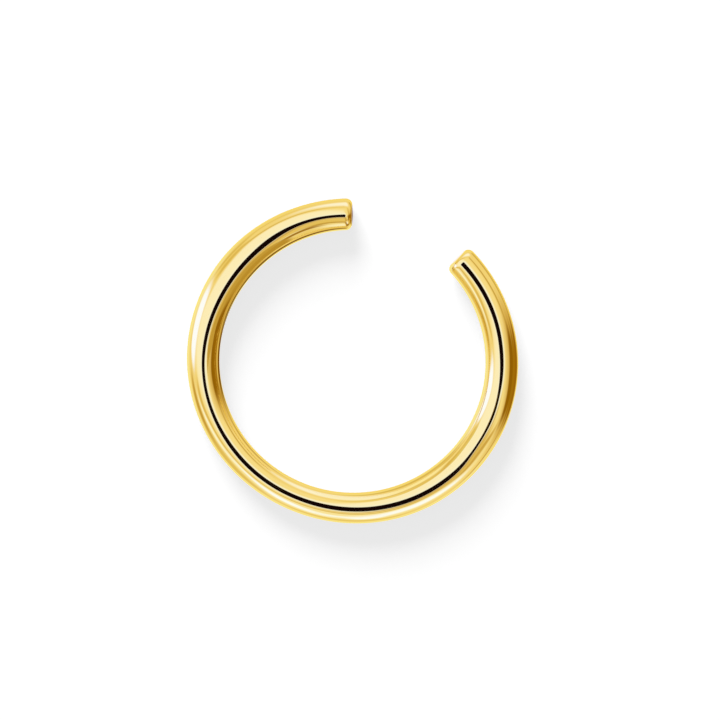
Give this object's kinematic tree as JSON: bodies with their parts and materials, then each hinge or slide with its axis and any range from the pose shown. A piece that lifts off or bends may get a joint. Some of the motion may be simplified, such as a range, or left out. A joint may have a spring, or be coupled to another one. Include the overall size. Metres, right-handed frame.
{
  "type": "ear cuff",
  "caption": "Open hoop of polished round wire with rounded ends, slipped over the rim of an ear through its gap and worn without a piercing.",
  "frame": {"origin": "middle of the footprint, on the surface that the cuff lies on; the hoop's own centre is 0.28 mm from it towards +Y", "axes": "+Z is the hoop's axis and points up from the surface; +Y points from the hoop's centre out through the middle of the gap; +X runs across the hoop"},
  "size_m": [0.013, 0.0124, 0.0013],
  "materials": {
    "gold_plate": "yellow gold plate over silver, polished to a mirror"
  },
  "bodies": {
    "root": {"hoop": "gold_plate"}
  },
  "joints": []
}
